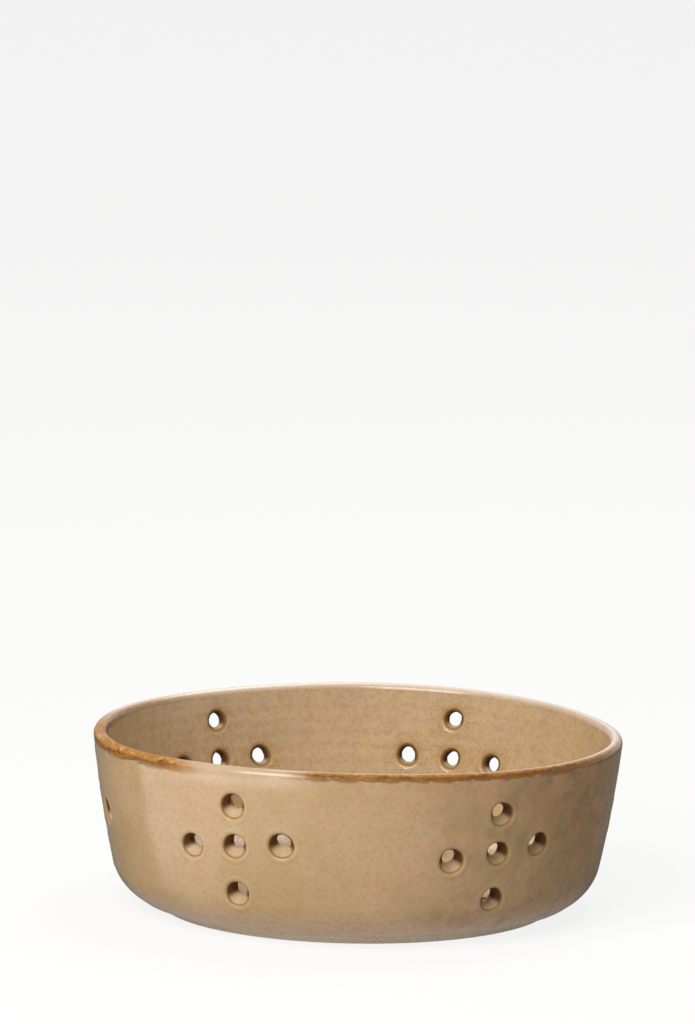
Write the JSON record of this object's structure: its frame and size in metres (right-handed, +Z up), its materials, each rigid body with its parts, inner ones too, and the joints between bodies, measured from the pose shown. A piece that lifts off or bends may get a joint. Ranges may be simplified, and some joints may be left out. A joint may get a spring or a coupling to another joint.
{
  "type": "berry colander bowl",
  "caption": "Low round stoneware bowl with flared hand-made wall, brown rim and turned foot, punched with drain holes in crosses round the wall and in rings through the floor.",
  "frame": {"origin": "middle of the bowl's outline, at the height of the table it stands on", "axes": "+Z up through the mouth; +X to the right and +Y away, seen from the front of the pictured bowl"},
  "size_m": [0.1652, 0.1609, 0.0566],
  "materials": {
    "clay": "fired stoneware clay under the glaze, with a bare line above the foot",
    "foot": "bare turned stoneware, matt and slightly gritty",
    "outer_glaze": "glossy tan reactive glaze with soft speckle",
    "liner_glaze": "satin tan reactive glaze, finely speckled with iron",
    "rim_glaze": "the same glaze broken to amber brown over the lip",
    "base_glaze": "satin tan reactive glaze",
    "hole_glaze": "glossy amber glaze pooled in the holes"
  },
  "bodies": {
    "root": {"stoneware_body": "clay", "foot_ring": "foot", "outer_glaze": "outer_glaze", "liner_glaze": "liner_glaze", "rim_band": "rim_glaze", "base_glaze": "base_glaze", "wall_hole_glaze": "hole_glaze", "floor_hole_glaze": "hole_glaze"}
  },
  "joints": []
}
